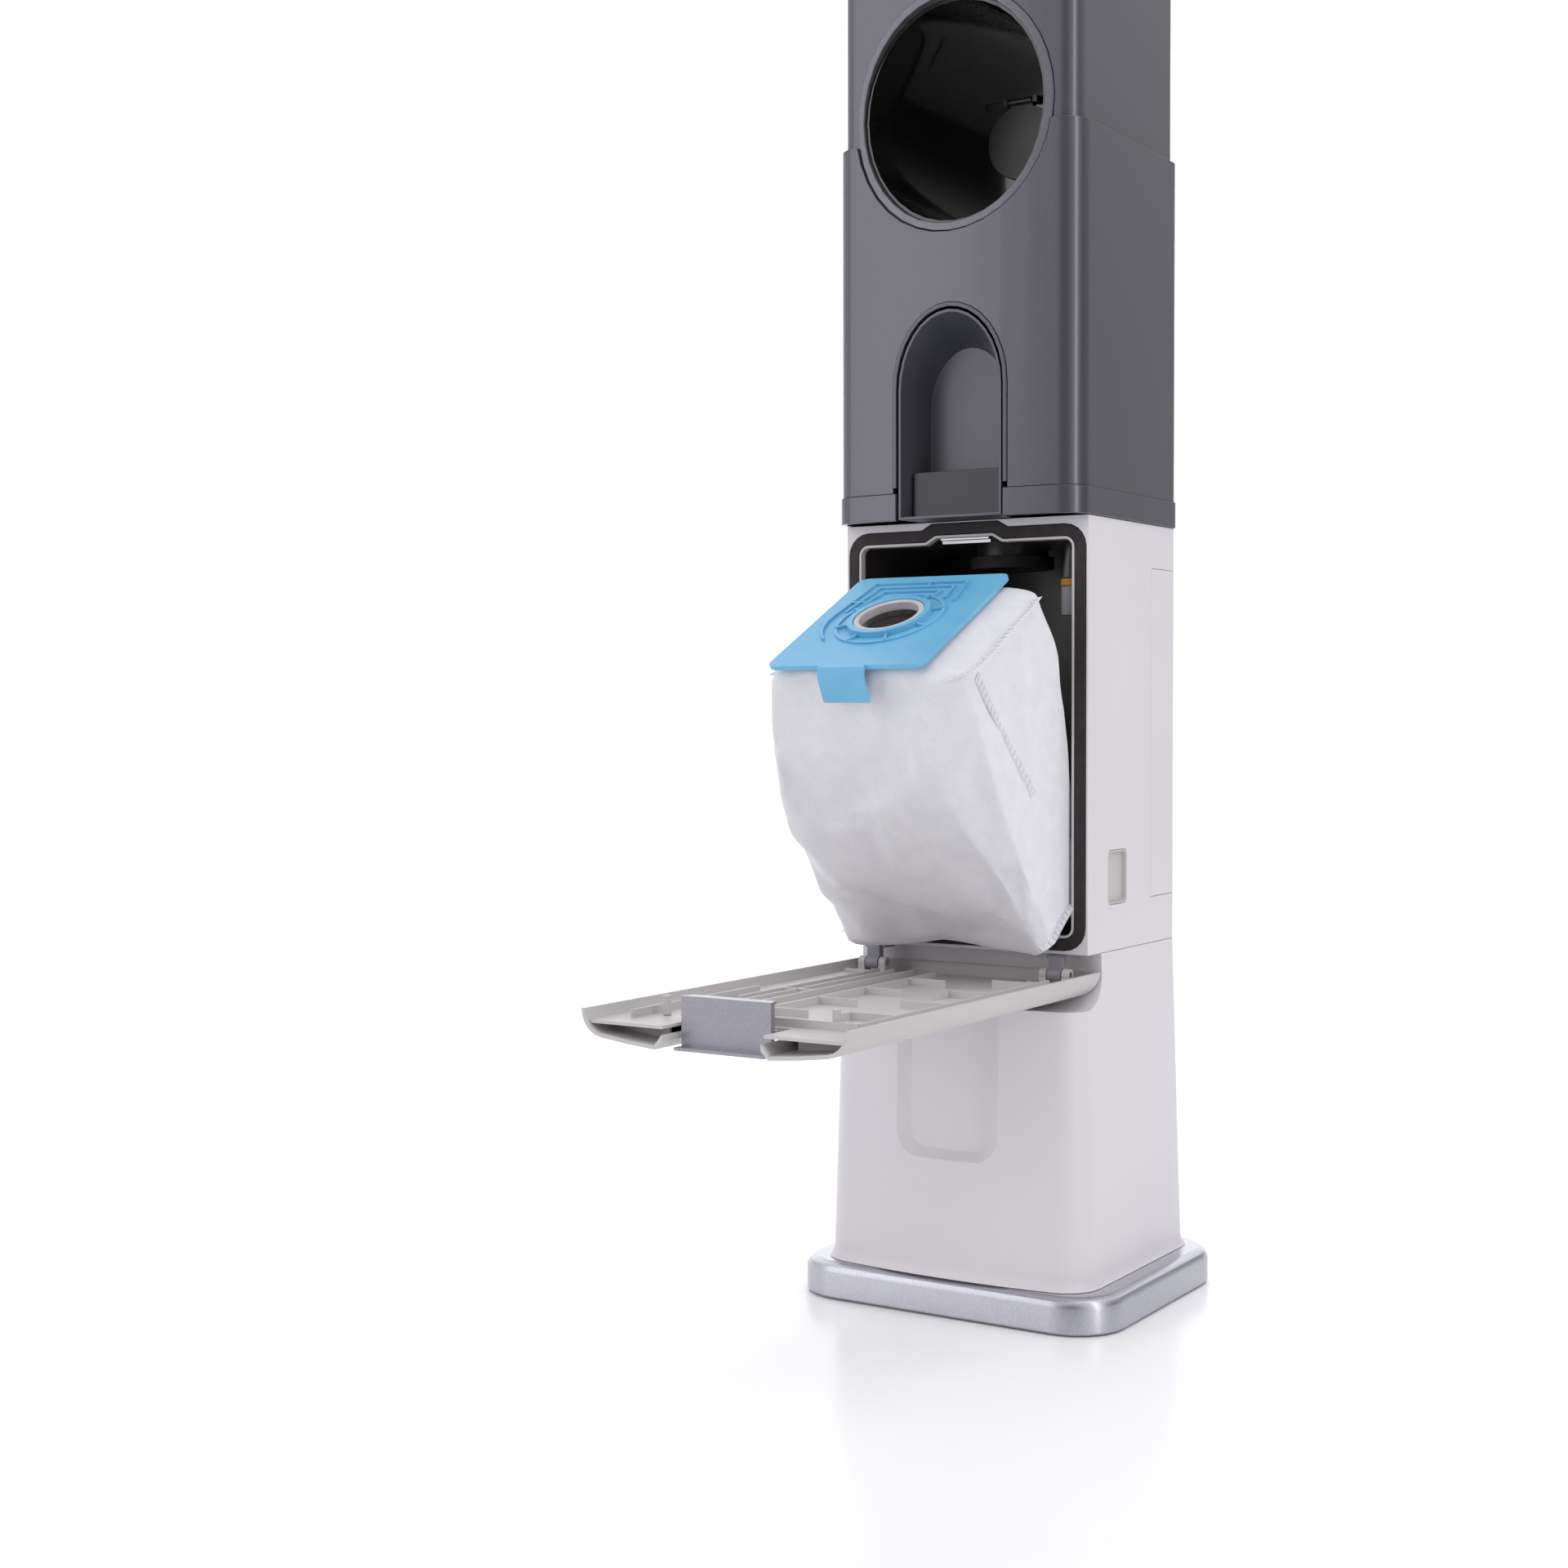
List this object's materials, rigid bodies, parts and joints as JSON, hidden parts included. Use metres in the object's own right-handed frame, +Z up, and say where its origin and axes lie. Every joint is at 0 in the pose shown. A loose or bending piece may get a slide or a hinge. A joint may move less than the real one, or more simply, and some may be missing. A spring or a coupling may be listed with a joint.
{
  "type": "suction waste collection tower",
  "caption": "Slim free-standing suction waste tower with a drop-down door, a disposable bag leaning out of its gasketed compartment, a grip niche and a round dock socket.",
  "frame": {"origin": "centre of the base pad's underside, on the floor", "axes": "+Z up; the front with the door and the sockets faces -Y; +X is the right-hand side seen from the front"},
  "size_m": [0.246, 0.4905, 1.0315],
  "materials": {
    "soft_rubber": "matt moulded rubber",
    "silver_metal": "satin silver lacquer",
    "ballast_steel": "plain mill steel",
    "white_plastic": "white moulding with a soft sheen",
    "warm_plastic": "warm light grey moulding",
    "black_plastic": "black moulding",
    "black_gloss": "deep gloss black",
    "grey_plastic": "mid grey moulding",
    "motor_windings": "lacquered copper windings",
    "bright_steel": "bright steel",
    "board_green": "circuit board",
    "filter_paper": "pleated filter medium",
    "amber_seal": "amber sealing ring",
    "silver_plastic": "silver-sprayed moulding",
    "blue_plastic": "sky-blue injection moulding",
    "pale_seal": "pale grey elastomer ring",
    "bag_fleece": "white non-woven fleece",
    "graphite_plastic": "graphite metallic lacquer, satin"
  },
  "bodies": {
    "tower": {"base_pad": "soft_rubber", "base_plinth": "silver_metal", "base_weight": "ballast_steel", "lower_housing": "white_plastic", "power_inlet": "black_plastic", "motor_mount": "soft_rubber", "motor_can": "grey_plastic", "motor_core": "motor_windings", "suction_pipe": "black_plastic", "control_board": "board_green", "mid_housing": "white_plastic", "exhaust_filter": "filter_paper", "door_gasket": "soft_rubber", "gasket_rib": "warm_plastic", "bag_chamber_liner": "black_plastic", "floor_grille": "grey_plastic", "side_pocket_R": "warm_plastic", "side_pocket_L": "warm_plastic", "latch_strike": "bright_steel", "inlet_spigot": "black_gloss", "spigot_seal": "soft_rubber", "filter_cartridge": "grey_plastic", "filter_seal": "amber_seal", "filter_holder": "black_plastic", "hinge_bracket_R": "grey_plastic", "hinge_pin_R": "bright_steel", "hinge_bracket_L": "grey_plastic", "hinge_pin_L": "bright_steel", "upper_front_cover": "graphite_plastic", "upper_rear_cover": "graphite_plastic", "lower_trim_band": "graphite_plastic", "niche_liner": "graphite_plastic", "niche_lower_block": "black_gloss", "niche_bead": "graphite_plastic", "head_front_cover": "graphite_plastic", "head_rear_cover": "graphite_plastic", "dock_ring": "silver_plastic", "dock_socket": "black_gloss", "flap_pivot": "bright_steel", "waste_duct": "black_plastic", "top_cap": "graphite_plastic"},
    "door": {"door_outer_shell": "warm_plastic", "door_inner_panel": "warm_plastic", "door_peg_L": "warm_plastic", "door_peg_R": "warm_plastic", "latch_pin": "bright_steel"},
    "latch": {"latch_lever": "silver_plastic"},
    "bag": {"bag_plate": "blue_plastic", "bag_seal_ring": "pale_seal", "bag_body": "bag_fleece"},
    "rotor": {"impeller": "grey_plastic", "motor_shaft": "bright_steel"},
    "flap": {"inlet_flap": "black_plastic"},
    "rear_cover": {"rear_filter_cover": "white_plastic"},
    "button": {"start_button": "silver_plastic"}
  },
  "joints": [
    {"name": "door_hinge", "type": "hinge", "parent": "tower", "child": "door", "pos_m": [0, -0.071, 0.2385], "axis": [-1, 0, 0], "range_deg": [0, 90]},
    {"name": "latch_press", "type": "hinge", "parent": "door", "child": "latch", "pos_m": [0, -0.3611, 0.231], "axis": [-1, 0, 0], "range_deg": [0, 5], "stiffness_Nm_per_rad": 0.6},
    {"name": "bag_lean", "type": "hinge", "parent": "tower", "child": "bag", "pos_m": [0, -0.034, 0.1206], "axis": [-1, 0, 0], "range_deg": [0, 27]},
    {"name": "rotor_spin", "type": "hinge", "parent": "tower", "child": "rotor", "pos_m": [0, 0.005, 0.1], "axis": [0, 0, 1], "continuous": true},
    {"name": "flap_swing", "type": "hinge", "parent": "tower", "child": "flap", "pos_m": [0, 0.0176, 0.86], "axis": [-1, 0, 0], "range_deg": [0, 60], "stiffness_Nm_per_rad": 0.02, "springref_deg": -11.46},
    {"name": "rear_cover_pull", "type": "slide", "parent": "tower", "child": "rear_cover", "axis": [0, 1, 0], "range_m": [0, 0.08]},
    {"name": "button_press", "type": "slide", "parent": "tower", "child": "button", "axis": [0, 0, -1], "range_m": [0, 0.0015], "stiffness_N_per_m": 600, "springref_m": -0.001}
  ],
  "couplings": [
    {"joint": "bag_lean", "follows": "door_hinge", "ratio": 0.3}
  ]
}
